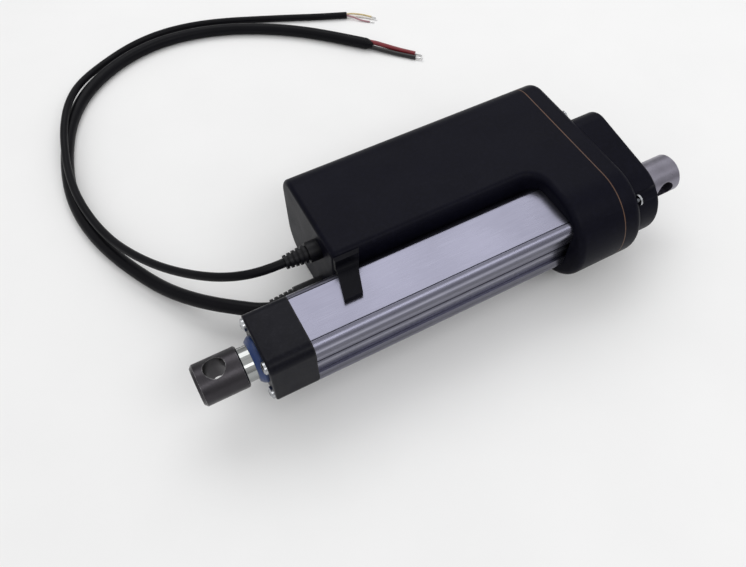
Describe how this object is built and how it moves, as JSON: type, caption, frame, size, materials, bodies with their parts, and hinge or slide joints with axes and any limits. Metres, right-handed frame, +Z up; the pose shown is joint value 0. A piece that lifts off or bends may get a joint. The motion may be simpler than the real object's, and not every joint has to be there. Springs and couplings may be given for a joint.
{
  "type": "linear actuator",
  "caption": "Electric linear actuator: a geared motor beside a square tube turns a lead screw that pushes a rod with an eye in and out.",
  "frame": {"origin": "centre of the rear eye's hole", "axes": "+X runs back along the rod's axis, so the rod comes out towards -X; +Y runs from the rod's axis towards the motor, and is the axis of the rear eye's hole; +Z is up, away from the face the motor cover lies on"},
  "size_m": [0.3524, 0.3789, 0.069],
  "materials": {
    "coil_copper": "enamelled copper",
    "core_steel": "stacked laminations",
    "ball_steel": "polished",
    "bearing_inner_steel": "ground",
    "bearing_outer_steel": "ground",
    "brush_holder_plastic": "moulded",
    "brush_carbon": "carbon",
    "commutator_copper": "turned copper",
    "clip_black": "satin",
    "nut_bronze": "machined",
    "cap_black": "satin black paint on a casting",
    "seam_gasket": "matt",
    "screw_steel": "bright zinc",
    "housing_black": "satin, fine grain",
    "plate_aluminium": "die cast",
    "plate_screw_steel": "zinc",
    "spacer_steel": "turned",
    "gasket_brown": "matt",
    "idler_hub_steel": "turned",
    "idler_pinion_steel": "hobbed",
    "idler_shaft_steel": "ground",
    "idler_wheel_plastic": "moulded acetal",
    "lead_screw_steel": "rolled",
    "motor_bolt_steel": "zinc",
    "can_steel": "zinc",
    "front_bell_steel": "die cast",
    "magnet_ferrite": "sintered ferrite",
    "motor_pinion_steel": "hobbed",
    "rear_bell_plastic": "moulded",
    "motor_shaft_steel": "ground",
    "guide_plastic": "acetal",
    "key_steel": "ground",
    "tube_aluminium": "satin anodised, drawn lengthwise",
    "rod_chrome": "polished",
    "board_green": "solder mask",
    "power_jacket": "satin PVC",
    "power_gland_rubber": "matt",
    "wire_black": "PVC",
    "wire_red": "PVC",
    "rear_bush_bronze": "sintered",
    "cover_black": "satin, fine grain",
    "cover_screw_steel": "bright zinc",
    "rear_eye_steel": "turned",
    "bush_bronze": "machined",
    "eye_steel": "turned, dark",
    "screw_gear_plastic": "moulded acetal",
    "stop_ring_steel": "turned",
    "sensor_ring_ferrite": "bonded magnet",
    "signal_jacket": "satin PVC",
    "signal_gland_rubber": "matt",
    "wire_pink": "PVC",
    "wire_white": "PVC",
    "wire_yellow": "PVC",
    "wiper_blue": "satin polyurethane",
    "tinned_copper": "tinned strands"
  },
  "bodies": {
    "housing": {"bearing_balls": "ball_steel", "bearing_outer_ring": "bearing_outer_steel", "brush_holder": "brush_holder_plastic", "brushes": "brush_carbon", "cover_clip": "clip_black", "front_cap": "cap_black", "front_cap_gasket": "seam_gasket", "front_cap_screws": "screw_steel", "gear_housing": "housing_black", "gear_plate": "plate_aluminium", "gear_plate_screws": "plate_screw_steel", "housing_gasket": "gasket_brown", "idler_shaft": "idler_shaft_steel", "motor_bolts": "motor_bolt_steel", "motor_can": "can_steel", "motor_front_bell": "front_bell_steel", "motor_magnets": "magnet_ferrite", "motor_rear_bell": "rear_bell_plastic", "outer_tube": "tube_aluminium", "position_board": "board_green", "power_cable": "power_jacket", "power_gland": "power_gland_rubber", "power_wire_black": "wire_black", "power_wire_red": "wire_red", "rear_bush": "rear_bush_bronze", "rear_cover": "cover_black", "rear_cover_screws": "cover_screw_steel", "rear_eye": "rear_eye_steel", "rod_bush": "bush_bronze", "signal_cable": "signal_jacket", "signal_gland": "signal_gland_rubber", "signal_wire_pink": "wire_pink", "signal_wire_white": "wire_white", "signal_wire_yellow": "wire_yellow", "wiper_seal": "wiper_blue", "wire_tips": "tinned_copper"},
    "rod": {"rod_eye": "eye_steel", "piston_rod": "rod_chrome", "drive_nut": "nut_bronze", "nut_key": "key_steel", "nut_guide_ring": "guide_plastic"},
    "screw": {"lead_screw": "lead_screw_steel", "screw_stop_ring": "stop_ring_steel", "bearing_inner_ring": "bearing_inner_steel", "gear_spacer": "spacer_steel", "screw_gear": "screw_gear_plastic", "sensor_magnet_ring": "sensor_ring_ferrite"},
    "idler": {"idler_hub": "idler_hub_steel", "idler_wheel": "idler_wheel_plastic", "idler_pinion": "idler_pinion_steel"},
    "rotor": {"motor_shaft": "motor_shaft_steel", "motor_pinion": "motor_pinion_steel", "commutator": "commutator_copper", "armature_core": "core_steel", "armature_coils": "coil_copper"}
  },
  "joints": [
    {"name": "rod_slide", "type": "slide", "parent": "housing", "child": "rod", "axis": [-1, 0, 0], "range_m": [0, 0.1]},
    {"name": "screw_spin", "type": "hinge", "parent": "housing", "child": "screw", "pos_m": [0, 0, 0], "axis": [1, 0, 0], "range_deg": [-20, 12021]},
    {"name": "idler_spin", "type": "hinge", "parent": "housing", "child": "idler", "pos_m": [0, 0.03367, -0.00238], "axis": [1, 0, 0], "range_deg": [-28520, 20]},
    {"name": "motor_spin", "type": "hinge", "parent": "housing", "child": "rotor", "pos_m": [0, 0.05661, -0.004], "axis": [1, 0, 0], "range_deg": [-20, 80770]}
  ],
  "couplings": [
    {"joint": "screw_spin", "follows": "rod_slide", "rad_per_m": 2094.4},
    {"joint": "idler_spin", "follows": "rod_slide", "rad_per_m": -4974.2},
    {"joint": "motor_spin", "follows": "rod_slide", "rad_per_m": 14094}
  ]
}
